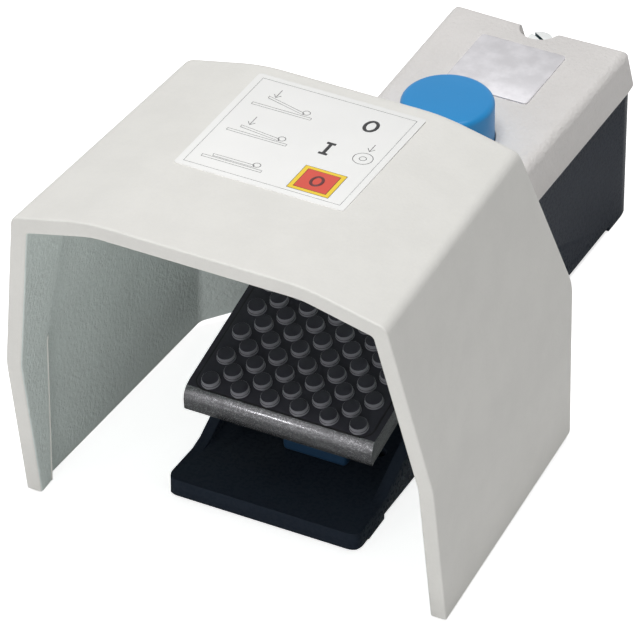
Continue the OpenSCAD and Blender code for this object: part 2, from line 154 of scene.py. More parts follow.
# Black rubber with paler scuffs
def rubber(name, colour, grain, depth, sheen=0.06):
    skin = Finish(name, roughness=0.62, specular=0.35, sheenWeight=sheen, sheenRoughness=0.5)
    fine = skin.noise(1000 / grain, 4.0, 0.6)
    scuff = skin.ramp(skin.noise(140, 5.0, 0.65), 0.5, 0.78)
    skin.set(baseColor=skin.mix(scuff * 0.5, colour, scaled(colour, 1.7, 0.008)),
             roughness=0.55 + fine * 0.22)
    return skin.bump(fine, depth * mm)


# Moulded plastic, film or ink, a little uneven in tone
def moulded(name, colour, rough=0.35, grain=0.5, depth=0.02):
    skin = Finish(name, roughness=rough, specular=0.45)
    fine = skin.noise(1000 / grain, 3.0, 0.5)
    cloud = skin.noise(45, 3.0, 0.5)
    skin.set(baseColor=skin.mix(cloud, scaled(colour, 0.9), colour),
             roughness=rough - 0.06 + fine * 0.14)
    return skin.bump(fine, depth * mm)


# Bare or plated metal with the lay of its finishing and some stains
def metal(name, colour, rough, grain=0.4, streak=(1, 1, 1), depth=0.01, tarnish=0.15):
    skin = Finish(name, roughness=rough, metallic=1.0)
    place = skin.node("Mapping", None, {"Vector": skin.place(), "Scale": streak})
    lay = skin.noise(1000 / grain, 4.0, 0.6, place)
    stain = skin.ramp(skin.noise(120, 4.0, 0.6), 0.35, 0.7)
    skin.set(baseColor=skin.mix(stain, scaled(colour, 1 - tarnish), colour),
             roughness=rough - 0.06 + lay * 0.18)
    return skin.bump(lay, depth * mm)


# Dark metallic lacquer: the fine flakes only glint where the light strikes
def flakeLacquer(name):
    look = {"coat": (0.125, 0.123, 0.13, 1.0), "flake": (0.5, 0.5, 0.52, 1.0), "pitch": 0.3, "tilt": 0.03}
    skin = Finish(name, roughness=0.28, metallic=0.9, coatWeight=0.12, coatRoughness=0.2)
    pick = skin.node("SeparateColor", None, {"Color": skin.cells(1000 / look["pitch"], out=1)})
    cloud = skin.noise(180, 4.0, 0.6)
    skin.set(baseColor=skin.mix(skin.ramp(pick, 0.5, 1.0) * 0.5 + cloud * 0.15, look["coat"], look["flake"]),
             roughness=0.17 + cloud * 0.08)
    return skin.bump(pick, look["tilt"] * mm)


hoodOutside = structurePaint("hoodOutsidePaint", (0.80, 0.79, 0.755, 1.0), 1.1, 0.08)
# The inside takes a lighter, greener copy of the hood's paint: its extra lightness is painted light inside the hood
hoodInsideLit = structurePaint("hoodInsideLitPaint", (0.86, 0.925, 0.895, 1.0), 1.5, 0.45, wear=0.05)
lidPaint = structurePaint("lidPaint", (0.79, 0.765, 0.747, 1.0), 1.3, 0.5)
castBlack = glossCasting("castBlackEnamel", (0.022, 0.029, 0.042, 1.0), 1.3, 0.03)
pedalLacquer = flakeLacquer("pedalLacquer")
matRubber = rubber("matRubber", (0.0155, 0.015, 0.023, 1.0), 0.5, 0.03)
# Near-black rubber for the ring round the mat: painted shade standing in for a groove
groovePaintedShade = rubber("groovePaintedShade", (0.002, 0.002, 0.003, 1.0), 0.5, 0.01, sheen=0.0)
# Paler rubber for the studs' upright faces: a painted highlight, not the rubber's own colour
litStudSide = rubber("litStudSideRubber", (0.185, 0.185, 0.205, 1.0), 0.5, 0.03, sheen=0.3)
sealRubber = rubber("sealRubber", (0.01, 0.01, 0.012, 1.0), 0.4, 0.03)
knobBlue = moulded("knobBlue", (0.008, 0.27, 0.64, 1.0), rough=0.38, grain=0.6, depth=0.015)
# Darker, duller blue for the buffer under the pedal: painted shade
shadedBufferBlue = moulded("shadedBufferBlue", (0.014, 0.045, 0.095, 1.0), rough=0.42)
labelFilm = moulded("labelFilm", (0.95, 0.95, 0.935, 1.0), rough=0.3, grain=0.7, depth=0.006)
inkBlack = moulded("inkBlack", (0.014, 0.014, 0.015, 1.0), rough=0.45)
inkDarkRed = moulded("inkDarkRed", (0.10, 0.014, 0.016, 1.0), rough=0.45)
inkYellow = moulded("inkYellow", (0.95, 0.68, 0.045, 1.0), rough=0.4)
inkRed = moulded("inkRed", (0.72, 0.085, 0.055, 1.0), rough=0.4)
plateFoil = metal("plateFoil", (0.61, 0.60, 0.62, 1.0), 0.5, grain=0.5, streak=(1, 14, 1), depth=0.006)
zincScrew = metal("zincScrew", (0.86, 0.88, 0.87, 1.0), 0.3, grain=0.35, tarnish=0.14)
slotShade = metal("slotShade", (0.16, 0.23, 0.25, 1.0), 0.4, tarnish=0.3)
pinSteel = metal("pinSteel", (0.6, 0.6, 0.59, 1.0), 0.28, streak=(12, 12, 1))
clipSteel = metal("clipSteel", (0.25, 0.25, 0.24, 1.0), 0.42, tarnish=0.3)
bracketSteel = metal("bracketSteel", (0.55, 0.55, 0.54, 1.0), 0.36, tarnish=0.25)
springSteel = metal("springSteel", (0.5, 0.5, 0.5, 1.0), 0.3)
brass = metal("brass", (0.72, 0.52, 0.2, 1.0), 0.3, tarnish=0.3)
blockPlastic = moulded("blockPlastic", (0.55, 0.5, 0.37, 1.0), rough=0.5)
yokePlastic = moulded("yokePlastic", (0.66, 0.63, 0.52, 1.0), rough=0.45)
guidePlastic = moulded("guidePlastic", (0.5, 0.5, 0.47, 1.0), rough=0.5)
print("finishes made")


# Makes a bmesh a piece that rides on a body and takes a node's place
def addPiece(name, bm, body, finishes, replaces, smoothAngle=40, place=None):
    if place is not None:
        bmesh.ops.transform(bm, matrix=place, verts=bm.verts)
    mesh = bpy.data.meshes.new(name)
    bm.to_mesh(mesh)
    bm.free()
    return dressMesh(name, mesh, body, finishes, replaces, smoothAngle)


def dressMesh(name, mesh, body, finishes, replaces, smoothAngle):
    piece = bpy.data.objects.new(name, mesh)
    bpy.context.scene.collection.objects.link(piece)
    for finish in finishes:
        mesh.materials.append(finish.material)
    mesh.shade_smooth()
    mesh.set_sharp_from_angle(angle=math.radians(smoothAngle))
    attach(piece, body)
    if replaces:
        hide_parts(*replaces)
    return piece


def bevelEdges(bm, edges, width, segments):
    bmesh.ops.bevel(bm, geom=list(edges), offset=width * mm, offset_type="OFFSET", segments=segments, profile=0.5,
                    affect="EDGES", clamp_overlap=True, material=-1)


def sharpEdges(bm, angle):
    return [e for e in bm.edges if len(e.link_faces) == 2 and e.calc_face_angle() > math.radians(angle)]


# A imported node's mesh with its loose triangles merged, and its flat faces too unless asked not to
def nodeMesh(node, flatten=True):
    bm = bmesh.new()
    bm.from_mesh(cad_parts[node].data)
    bmesh.ops.remove_doubles(bm, verts=bm.verts, dist=1e-6)
    if flatten:
        bmesh.ops.dissolve_limit(bm, angle_limit=math.radians(0.5), verts=bm.verts, edges=bm.edges)
    return bm


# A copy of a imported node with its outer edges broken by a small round
def softened(node, finish, width, segments, pick=None, reshape=None):
    bm = nodeMesh(node)
    edges = [e for e in sharpEdges(bm, 50) if pick is None or pick([v.co / mm for v in e.verts])]
    bevelEdges(bm, edges, width, segments)
    if reshape:
        for v in bm.verts:
            v.co = reshape(v.co / mm) * mm
    addPiece(node + "Shape", bm, "base", [finish], [node])


# Box between two corners, with its edges rounded if a radius is given
def roundBox(low, high, radius=0, segments=3):
    bm = bmesh.new()
    bmesh.ops.create_cube(bm, size=1.0)
    size = [(b - a) * mm for a, b in zip(low, high)]
    middle = [(a + b) / 2 for a, b in zip(low, high)]
    stretch = Matrix.Translation(Vector(middle) * mm) @ Matrix.Diagonal((*size, 1))
    bmesh.ops.transform(bm, matrix=stretch, verts=bm.verts)
    if radius:
        bevelEdges(bm, bm.edges, radius, segments)
    return bm


# Adds one bmesh to another and frees it
def merge(target, source):
    mesh = bpy.data.meshes.new("joined")
    source.to_mesh(mesh)
    source.free()
    target.from_mesh(mesh)
    bpy.data.meshes.remove(mesh)


# Turns a half profile of (radius, height) points about +Z
def turned(profile, steps):
    bm = bmesh.new()
    verts = [bm.verts.new((r * mm, 0, z * mm)) for r, z in profile]
    edges = [bm.edges.new(pair) for pair in zip(verts, verts[1:])]
    bmesh.ops.spin(bm, geom=verts + edges, cent=(0, 0, 0), axis=(0, 0, 1), angle=math.tau, steps=steps,
                   use_merge=True)
    bmesh.ops.remove_doubles(bm, verts=bm.verts, dist=1e-7)
    bmesh.ops.recalc_face_normals(bm, faces=bm.faces)
    return bm


def arc(centre, radius, start, end, steps):
    return [(centre[0] + radius * math.cos(math.radians(a)), centre[1] + radius * math.sin(math.radians(a)))
            for a in [start + (end - start) * i / steps for i in range(steps + 1)]]


hood = {"frontY": -136.5, "lean": 0.18, "top": 142,
        "outsideRounds": (8, 3, 4), "insideRounds": (4, 1.2, 2), "roundSteps": 5,
        "loopRounds": (1.0, 2.2, 0.9, 0.9, 2, 0.25, 0.25, 1.2), "loopSteps": 4,
        "insideSpan": (17, 38),  # the points of a loop that lie on the inside
        "bead": 0.3, "beadSection": 6, "beadTop": 84,
        "flangeX": (33.7, 36.65), "flangeY": (38, 54), "flangeZ": (6, 38), "flangeRound": 0.5}


# A point on the leaning front
def leaning(x, z):
    return x, hood["frontY"] + hood["lean"] * (hood["top"] - z), z


# Half sections of four points, flat's edge, shoulder, fold and foot: back along the outside, forward along the inside
hoodSections = [
    [leaning(39.7, 142), leaning(68.5, 134), leaning(80, 62.6), leaning(80, 2)],
    [(33.5, -23, 138.5), (62.4, -23, 131.9), (73.9, -1.2, 67.3), (73.9, 0.6, 3.6)],
    [(33.5, 18, 76.5), (36.9, 30, 66), (36.65, 43.9, 50), (36.65, 43.9, 6)],
    [(32.6, 15.8, 73.5), (34.8, 28.6, 63.6), (33.7, 42.6, 48), (33.7, 42.6, 6)],
    [(32.4, -25.6, 135), (59.7, -25, 129), (70.9, -2.6, 66.2), (70.9, -0.8, 3.6)],
    [(37, -104, 138), (64.2, -104, 130.4), (76.2, -104, 63), (76.2, -104, 2.6)],
    [(38, -104.6, 135.2), (62.8, -104.6, 128), (73.9, -104.6, 62.2), (73.9, -104.6, 2.6)],
    [leaning(38.2, 135.4), leaning(63.2, 128.2), leaning(74, 62.2), leaning(74, 2)]]


# Points of a curve that rounds the corner at b, from reach millimetres before it to as far behind it
def roundedCorner(a, b, c, reach, steps):
    start = b + (a - b).normalized() * min(reach, (a - b).length * 0.45)
    end = b + (c - b).normalized() * min(reach, (c - b).length * 0.45)
    shares = [i / steps for i in range(steps + 1)]
    return [start * (1 - t) ** 2 + b * 2 * t * (1 - t) + end * t * t for t in shares]


# One half section made whole, from foot to foot, with its folds rounded
def hoodRing(half, rounds):
    path = [Vector(p) for p in reversed(half)] + [Vector((-x, y, z)) for x, y, z in half]
    reaches = list(reversed(rounds)) + list(rounds)
    ring = [path[0]]
    for i, reach in enumerate(reaches, 1):
        ring += roundedCorner(path[i - 1], path[i], path[i + 1], reach, hood["roundSteps"])
    return ring + [path[-1]]


# Closed loops of points, one for each column of the shell, with their own corners rounded
def hoodColumns():
    rings = [hoodRing(section, hood["outsideRounds"] if i < 3 else hood["insideRounds"])
             for i, section in enumerate(hoodSections)]
    columns = []
    for corners in zip(*rings):
        column = []
        for j, reach in enumerate(hood["loopRounds"]):
            following = corners[(j + 1) % len(corners)]
            column += roundedCorner(corners[j - 1], corners[j], following, reach, hood["loopSteps"])
        columns.append(column)
    return columns


# Thin six-sided rod through a list of points in an XZ section
def rodAlong(points, radius):
    bm = bmesh.new()
    across, last, before = Vector((0, 1, 0)), len(points) - 1, []
    angles = [math.tau * k / 6 for k in range(6)]
    for i, p in enumerate(points):
        ahead = (points[min(i + 1, last)] - points[max(i - 1, 0)]).normalized()
        side = ahead.cross(across).normalized()
        verts = [bm.verts.new((p + (side * math.cos(a) + across * math.sin(a)) * radius) * mm) for a in angles]
        edges = [bm.edges.new(pair) for pair in zip(verts, verts[1:] + verts[:1])]
        if i in (0, last):
            bmesh.ops.contextual_create(bm, geom=edges)
        if before:
            bmesh.ops.bridge_loops(bm, edges=edges + before)
        before = edges
    bmesh.ops.recalc_face_normals(bm, faces=bm.faces)
    return bm


# The shell grows edge by edge round its loops; then come the foot faces, the rim's bead and the flanges
def makeHood():
    bm = bmesh.new()
    columns = hoodColumns()
    grid = [[bm.verts.new(column[0] * mm)] for column in columns]
    chain = [bm.edges.new((a[0], b[0])) for a, b in zip(grid, grid[1:])]
    for step in range(1, len(columns[0])):
        grown = bmesh.ops.extrude_edge_only(bm, edges=chain)["geom"]
        fresh = {g for g in grown if isinstance(g, bmesh.types.BMVert)}
        chain = [g for g in grown if isinstance(g, bmesh.types.BMEdge) and all(v in fresh for v in g.verts)]
        for row, column in zip(grid, columns):
            partner = next(v for e in row[-1].link_edges for v in e.verts if v in fresh)
            partner.co = column[step] * mm
            row.append(partner)
    for a, b in zip(grid, grid[1:]):
        bmesh.ops.contextual_create(bm, geom=[a[0], b[0], b[-1], a[-1]])
    # Faces on the inside take the lighter copy of the paint: painted light inside the hood
    inner = {v for row in grid for v in row[slice(*hood["insideSpan"])]}
    for face in bm.faces:
        face.material_index = 1 if all(v in inner for v in face.verts) else 0
    for row in (grid[0], grid[-1]):
        foot = [bm.edges.get(pair) for pair in zip(row, row[1:] + row[:1])]
        bmesh.ops.triangle_fill(bm, use_beauty=True, edges=foot)
    bmesh.ops.recalc_face_normals(bm, faces=bm.faces)
    rim = hoodRing(hoodSections[hood["beadSection"]], hood["insideRounds"])
    bead = [p + Vector((0, hood["bead"], 0)) for p in rim if p.z < hood["beadTop"]]
    for side in (-1, 1):
        merge(bm, rodAlong([p for p in bead if p.x * side > 0], hood["bead"]))
    for side in (-1, 1):
        low, high = zip(sorted(side * x for x in hood["flangeX"]), hood["flangeY"], hood["flangeZ"])
        merge(bm, roundBox(low, high, hood["flangeRound"], 2))
    piece = addPiece("hoodShell", bm, "base", [hoodOutside, hoodInsideLit], ["hood"], 35)
    even = piece.modifiers.new("evenShading", "WEIGHTED_NORMAL")
    even.weight = 100
    even.keep_sharp = True


makeHood()
print("hood made")


cast = {"edge": 0.9, "edgeSteps": 3,
        "sideX": 33.5, "frontY": 13, "rearY": 135, "trayZ": 7.8, "soleZ": 1.5,  # where its edges are rounded
        "toeFrom": -60, "toeGain": 0.108, "toeCentre": (32.1, -83.5), "toeSquare": 0.2, "tipZ": 1.2,
        "drop": 1.4, "dropFrom": -79.3, "dropZ": (2, 4), "widen": 0.5, "widenY": (62, 84), "widenX": 20,
        "rearCentre": (27.65, 129.8), "rearSquare": 0.65}
lid = {"edge": 0.4, "edgeSteps": 2, "edgeZ": 60, "foot": 55.6, "top": 73.3, "rear": 2.0, "from": 117, "over": 8,
       "notchHalf": 9.5, "notchFrom": 123, "lowCentre": (28.7, 130.5), "highCentre": (29.85, 125.5),
       "square": 0.8, "flare": 1.5, "flareX": (20, 33), "flareY": (96, 128)}
buffer = {"edge": 1.6, "edgeSteps": 4}


# The casting's outer edges, apart from those it stands on
def onShell(ends):
    outer = all(abs(p.x) > cast["sideX"] or p.y < cast["frontY"] or p.y > cast["rearY"] or p.z < cast["trayZ"]
                for p in ends)
    return outer and not all(p.z < cast["soleZ"] for p in ends)


# Share of the way from one value to another, eased at both ends
def eased(value, low, high):
    t = min(max((value - low) / (high - low), 0.0), 1.0)
    return t * t * (3 - 2 * t)


# Pulls a rounded upright corner towards a square one
def squareCorner(p, centreX, centreY, power, end=1):
    dx, dy = abs(p.x) - centreX, (p.y - centreY) * end
    if dx <= 0 or dy <= 0:
        return p
    grow = (math.hypot(dx, dy) / max(dx, dy)) ** power
    return Vector((math.copysign(centreX + dx * grow, p.x), centreY + dy * grow * end, p.z))


# The tray's toe reaches further forward and lower; the housing's rear corners are squarer
def castShape(p):
    if p.y >= cast["toeFrom"]:
        return squareCorner(p, *cast["rearCentre"], cast["rearSquare"])
    p = squareCorner(p, *cast["toeCentre"], cast["toeSquare"], -1)
    under = p.z > cast["tipZ"] and p.y < cast["dropFrom"]
    low = cast["drop"] * (1 - eased(p.z, *cast["dropZ"])) if under else 0
    wide = cast["widen"] * eased(-p.y, *cast["widenY"]) if abs(p.x) > cast["widenX"] else 0.0
    ahead = (p.y - cast["toeFrom"]) * cast["toeGain"]
    return Vector((p.x + math.copysign(wide, p.x), p.y + ahead, p.z - low))


# The lid's walls stand steeper and its upper edge further back at the rear, except round the screw's notch
def lidShape(p):
    up = min(max((p.z - lid["foot"]) / (lid["top"] - lid["foot"]), 0.0), 1.0)
    centre = [a + (b - a) * up for a, b in zip(lid["lowCentre"], lid["highCentre"])]
    p = squareCorner(p, *centre, lid["square"])
    wide = lid["flare"] * up * eased(abs(p.x), *lid["flareX"]) * eased(p.y, *lid["flareY"])
    start = lid["from"] if abs(p.x) > lid["notchHalf"] else lid["notchFrom"]
    back = lid["rear"] * up * eased(p.y, start, start + lid["over"])
    return Vector((p.x + math.copysign(wide, p.x), p.y + back, p.z))


softened("base_housing", castBlack, cast["edge"], cast["edgeSteps"], onShell, castShape)
softened("housing_lid", lidPaint, lid["edge"], lid["edgeSteps"],
         lambda ends: all(p.z > lid["edgeZ"] for p in ends), lidShape)
softened("pedal_stop", shadedBufferBlue, buffer["edge"], buffer["edgeSteps"])
print("housing and lid made")


screw = {"edge": 0.18, "reach": 6, "above": 1, "below": 30, "slotReach": 2.2, "slotFrom": 0.1, "slotTo": 2.2,
         # the top of each head, its axis and the turn of its slot in degrees
         "lidHeads": (((0, 129.4, 68.7), (0, 0, 1), -33), ((24, 28, 72.9), (0, 0, 1), 24),
                      ((-24, 28, 72.9), (0, 0, 1), -50)),
         "hoodHeads": (((39.7, 49, 13), (1, 0, 0), 20), ((39.7, 49, 31), (1, 0, 0), -35),
                       ((-39.7, 49, 13), (-1, 0, 0), 62), ((-39.7, 49, 31), (-1, 0, 0), 8))}


# How far a point lies under a head's top and from its axis
def underHead(point, top, axis):
    away = point - top
    deep = -away.dot(axis)
    return deep, (away + axis * deep).length


# Slotted heads, each turned on its own axis, with painted shade in the slot
def screwHeads(node, heads):
    bm = nodeMesh(node)
    heads = [(Vector(top) * mm, Vector(axis), degrees) for top, axis, degrees in heads]
    for top, axis, degrees in heads:
        near = []
        for v in bm.verts:
            deep, off = underHead(v.co, top, axis)
            if off < screw["reach"] * mm and -screw["above"] * mm < deep < screw["below"] * mm:
                near.append(v)
        bmesh.ops.rotate(bm, cent=top, matrix=Matrix.Rotation(math.radians(degrees), 3, axis), verts=near)
    bevelEdges(bm, sharpEdges(bm, 60), screw["edge"], 2)
    for face in bm.faces:
        face.material_index = 0
        for top, axis, degrees in heads:
            deep, off = underHead(face.calc_center_median(), top, axis)
            if screw["slotFrom"] * mm < deep < screw["slotTo"] * mm and off < screw["slotReach"] * mm:
                face.material_index = 1
    addPiece(node + "Turned", bm, "base", [zincScrew, slotShade], [node])


screwHeads("lid_screws", screw["lidHeads"])
screwHeads("hood_screws", screw["hoodHeads"])


pedal = {"half": 36, "toeY": -78.6, "toeZ": 37.3, "tilt": 14,
         "sideRound": 2.4, "sideTop": -3.6, "edge": 0.4, "footFront": 2, "footTop": -7,
         "nose": 3.5, "fullNose": 4.6, "noseHalf": 32.5, "reach": 1.0, "footReach": 0.3, "foot": -8.4,
         "footSlack": 0.3, "noseSlack": 0.01, "sideSlack": 0.1, "shadedTopNormal": 0.97, "shadedTopDepth": 0.6}
pedalPlace = Matrix.Translation((0, pedal["toeY"] * mm, pedal["toeZ"] * mm)) @ \
    Matrix.Rotation(math.radians(pedal["tilt"]), 4, "X")


# The plate's long edges: the top ones at its sides, and the small ones under them and at its toe
def plateEdges(bm, flat):
    local = {v: flat @ v.co / mm for v in bm.verts}
    sides, small = [], []
    for e in sharpEdges(bm, 50):
        a, b = (local[v] for v in e.verts)
        if min(abs(a.x), abs(b.x)) > pedal["half"] - pedal["sideSlack"] and a.x * b.x > 0:
            (sides if min(a.z, b.z) > pedal["sideTop"] else small).append(e)
        elif min(a.y, b.y) < pedal["footFront"] and max(a.z, b.z) < pedal["footTop"]:
            small.append(e)
    return sides, small


# Gives a point of the toe its place on a fuller nose, in the plate's own millimetres
def fullerNose(x, y, z):
    nose, full, reach = pedal["nose"], pedal["fullNose"], pedal["reach"]
    if abs(x) < pedal["noseHalf"] or y > nose - pedal["noseSlack"] or z < pedal["foot"] - pedal["footSlack"]:
        return None
    if z > -nose:
        a = math.atan2(z + nose, nose - y)
        shrink = math.hypot(z + nose, nose - y) / nose
        return Vector((x, full - reach - full * shrink * math.cos(a), full * (shrink * math.sin(a) - 1)))
    share = (z - pedal["foot"]) / (-nose - pedal["foot"])
    ahead = pedal["footReach"] + (reach - pedal["footReach"]) * share
    return Vector((x, y - ahead, z - (full - nose) * max(share, 0)))


# The plate with its seat for the mat; its level top faces take the mat's dark rubber as painted shade, standing in
# for the dark underside of the hood mirrored in the lacquer
def pedalShape():
    flat = pedalPlace.inverted()
    bm = nodeMesh("pedal_plate")
    sides, small = plateEdges(bm, flat)
    bevelEdges(bm, small, pedal["edge"], 2)
    bevelEdges(bm, [e for e in sides if e.is_valid], pedal["sideRound"], 5)
    for v in bm.verts:
        moved = fullerNose(*(c / mm for c in flat @ v.co))
        if moved is not None:
            v.co = pedalPlace @ (moved * mm)
    bm.normal_update()
    turn = flat.to_3x3()
    # Level faces near the top get the dark rubber: painted shade
    for face in bm.faces:
        level = (turn @ face.normal).z > pedal["shadedTopNormal"]
        shadedTop = level and (flat @ face.calc_center_median()).z > -pedal["shadedTopDepth"] * mm
        face.material_index = 1 if shadedTop else 0
    return bm


addPiece("pedalPlate", pedalShape(), "pedal", [pedalLacquer, matRubber], ["pedal_plate"])


knob = {"radius": 16.8, "foot": 66, "top": 89.2, "round": 2.2, "wall": 2.5, "roof": 85, "crown": 0.25, "y": 52.3,
        "chamfer": 0.4, "draft": 0.15, "dome": 0.07, "steps": 96,
        "ringInner": 17.1, "ringOuter": 18.3, "ringFoot": 70.3, "ringTop": 73.32, "ringChamfer": 0.2}
knobPlace = Matrix.Translation((0, knob["y"] * mm, 0))


# Hollow cap with a nearly flat top
def knobShape():
    r, inner, edge = knob["radius"], knob["radius"] - knob["wall"], knob["round"]
    profile = [(inner, knob["foot"]), (r - knob["chamfer"], knob["foot"]), (r, knob["foot"] + knob["chamfer"])]
    wallTop = knob["top"] - knob["crown"] - edge
    profile += [(r - knob["draft"], wallTop)]
    profile += arc((r - knob["draft"] - edge, wallTop), edge, 0, 90, 8)[1:]
    profile += [(r * 0.5, knob["top"] - knob["dome"]), (0, knob["top"])]
    profile += [(0, knob["roof"]), (inner, knob["roof"]), (inner, knob["foot"])]
    return turned(profile, knob["steps"])


# Pale ring in the lid's opening
def knobRing():
    inner, outer, foot, top = (knob[part] for part in ("ringInner", "ringOuter", "ringFoot", "ringTop"))
    cut = knob["ringChamfer"]
    profile = [(inner, foot), (outer, foot), (outer, top), (inner + cut, top), (inner, top - cut), (inner, foot)]
    return turned(profile, knob["steps"])


addPiece("knobCap", knobShape(), "knob", [knobBlue], ["release_knob"], 50, knobPlace)
addPiece("knobLip", knobRing(), "base", [lidPaint], ["knob_seal"], 40, knobPlace)


def uprightEdges(bm):
    return [e for e in bm.edges if abs(e.verts[0].co.z - e.verts[1].co.z) > 1e-6]


# Thin plate on z 0 with rounded corners and a broken upper edge
def sheetPlate(half, depth, thick, corner, edge):
    bm = roundBox((-half, -depth, 0), (half, depth, thick))
    bevelEdges(bm, uprightEdges(bm), corner, 8)
    bevelEdges(bm, [e for e in sharpEdges(bm, 60) if all(v.co.z > 1e-6 for v in e.verts)], edge, 2)
    return bm


namePlate = {"half": 16.7, "depth": 17, "thick": 0.5, "corner": 1.5, "edge": 0.12, "y": 99, "z": 73.3}
bm = sheetPlate(*(namePlate[part] for part in ("half", "depth", "thick", "corner", "edge")))
addPiece("namePlate", bm, "base", [plateFoil], ["name_plate"], 40,
         Matrix.Translation((0, namePlate["y"] * mm, namePlate["z"] * mm)))

# The sheet lies on the hood's top, which falls towards the rear
label = {"half": 31.3, "depth": 31.1, "thick": 0.25, "corner": 1.2, "edge": 0.06, "y": -60.3, "fromFront": 76.2,
         "fall": 3.5, "fallOver": 113.5, "strokeFlat": 0.35}
labelZ = hood["top"] - label["fall"] * label["fromFront"] / label["fallOver"]
labelPlace = Matrix.Translation((0, label["y"] * mm, labelZ * mm)) @ \
    Matrix.Rotation(-math.atan2(label["fall"], label["fallOver"]), 4, "X")
bm = sheetPlate(*(label[part] for part in ("half", "depth", "thick", "corner", "edge")))
addPiece("labelSheet", bm, "base", [labelFilm], ["hood_label"], 40, labelPlace)


# Printed lines: round strokes half sunk in the sheet
def strokes(name, lines, radius, finish, lift=0.0):
    curve = bpy.data.curves.new(name, "CURVE")
    curve.dimensions = "3D"
    curve.bevel_depth = radius * mm
    curve.bevel_resolution = 2
    curve.use_fill_caps = True
    level = (label["thick"] + lift) * mm
    for line in lines:
        closed = line[0] == line[-1] and len(line) > 2
        points = line[:-1] if closed else line
        spline = curve.splines.new("POLY")
        spline.points.add(len(points) - 1)
        for point, (a, b) in zip(spline.points, points):
            point.co = (a * mm, b * mm, level, 1)
        spline.use_cyclic_u = closed
    maker = bpy.data.objects.new(name + "Maker", curve)
    bpy.context.scene.collection.objects.link(maker)
    mesh = bpy.data.meshes.new_from_object(maker.evaluated_get(bpy.context.evaluated_depsgraph_get()))
    bpy.data.objects.remove(maker)
    bpy.data.curves.remove(curve)
    mesh.name = name
    mesh.materials.clear()
    flat = Matrix.Diagonal((1, 1, label["strokeFlat"], 1))
    settle = Matrix.Translation((0, 0, level))
    mesh.transform(labelPlace @ settle @ flat @ settle.inverted())
    dressMesh(name, mesh, "base", [finish], (), 60)


# Closed line round a middle, with its two half widths
def ring(a, b, ra, rb, steps=28):
    turns = [math.tau * i / steps for i in range(steps)]
    return [(a + ra * math.cos(t), b + rb * math.sin(t)) for t in turns] + [(a + ra, b)]


# Plain side view of a treadle over its base plate, at its slope, with the pivot it tips on
def treadle(a, b, tilt):
    raised = 15 * math.tan(math.radians(tilt))
    base = [(a, b), (a + 22, b), (a + 22, b + 1.2), (a, b + 1.2), (a, b)]
    board = [(a + 3.5, b + 1.2 + raised), (a + 18.5, b + 1.8), (a + 18.2, b + 3.0), (a + 3.2, b + 2.4 + raised),
             (a + 3.5, b + 1.2 + raised)]
    return [base, board, ring(a + 19, b + 3.4, 1.3, 1.3, 16)]


def arrow(a, b, length):
    return [[(a, b + length), (a, b)], [(a - 1.3, b + 1.7), (a, b), (a + 1.3, b + 1.7)]]


# Places on the sheet in millimetres from its middle
drawing = {"frame": (28.8, 28.6), "frameStroke": 0.1, "stroke": 0.12, "markStroke": 0.62,
           "treadles": ((-25, 12.5, 17), (-25, -5.5, 9), (-25, -23.5, 2)),
           "treadleArrows": ((-19.5, 19.6, 5), (-19.5, 0.6, 5.4)),
           "knobRings": ((23, -0.2, 3.4, 3.4, 28), (23, -0.2, 1.2, 1.2, 16)), "knobArrow": (23, 4.6, 4.6),
           "offMark": (16.7, 18.6, 2.1, 3.1),
           "onMark": ([(9.9, -3.6), (9.9, 3.0)], [(8.3, 3.0), (11.5, 3.0)], [(8.3, -3.6), (11.5, -3.6)])}
patch = {"x": 15.9, "y": -19.6, "depth": 0.95, "sunk": 0.05,
         "layers": (("patchEdge", 7.7, 0.02, inkBlack), ("patchYellow", 7.5, 0.04, inkYellow),
                    ("patchRedEdge", 6.05, 0.06, inkDarkRed), ("patchRed", 5.85, 0.08, inkRed)),
         "mark": (1.9, 2.7), "markStroke": 0.55, "markLift": 0.08}


# Three positions of the treadle and the knob, an on and an off mark, and the red patch with its own mark
def printLabel():
    a, b = drawing["frame"]
    diagrams = [line for values in drawing["treadles"] for line in treadle(*values)]
    diagrams += [line for values in drawing["treadleArrows"] for line in arrow(*values)]
    diagrams += [ring(*values) for values in drawing["knobRings"]] + arrow(*drawing["knobArrow"])
    strokes("labelFrame", [[(a, b), (-a, b), (-a, -b), (a, -b), (a, b)]], drawing["frameStroke"], inkBlack)
    strokes("labelDiagrams", diagrams, drawing["stroke"], inkBlack)
    strokes("labelMarks", [ring(*drawing["offMark"]), *drawing["onMark"]], drawing["markStroke"], inkBlack)
    for name, half, lift, finish in patch["layers"]:
        low = (patch["x"] - half, patch["y"] - half * patch["depth"], label["thick"] - patch["sunk"])
        high = (patch["x"] + half, patch["y"] + half * patch["depth"], label["thick"] + lift)
        addPiece(name, roundBox(low, high), "base", [finish], (), 40, labelPlace)
    mark = ring(patch["x"], patch["y"], *patch["mark"])
    strokes("patchMark", [mark], patch["markStroke"], inkDarkRed, patch["markLift"])


printLabel()
print("knob, plate and printed sheet made")


mat = {"half": 31.5, "front": 2.9, "rear": 59.7, "thick": 1.5, "proud": 0.2, "corner": 4.5, "edge": 0.35,
       "tongueHalf": 28.6, "tongueEnd": 71.8, "tongueLap": 2, "tongueLow": 0.02}
skin = {"half": 33.5, "front": 2.7, "rear": 60.2, "corner": 4.2, "top": 0.3, "edge": 0.12,
        "groove": 0.6, "grooveTop": 0.06, "grooveEdge": 0.01}
stud = {"radius": 3.1, "foot": 3.4, "footFrom": 0.1, "footTop": 0.75, "step": 1.0, "height": 2.5, "round": 0.3,
        "footChamfer": (0.15, 0.2), "dish": 0.04, "flatNormal": 0.8, "steps": 20,
        "pitch": 11.3, "row": 5.9, "rows": 11, "front": 6, "long": 6, "short": 5, "narrowFrom": 56}


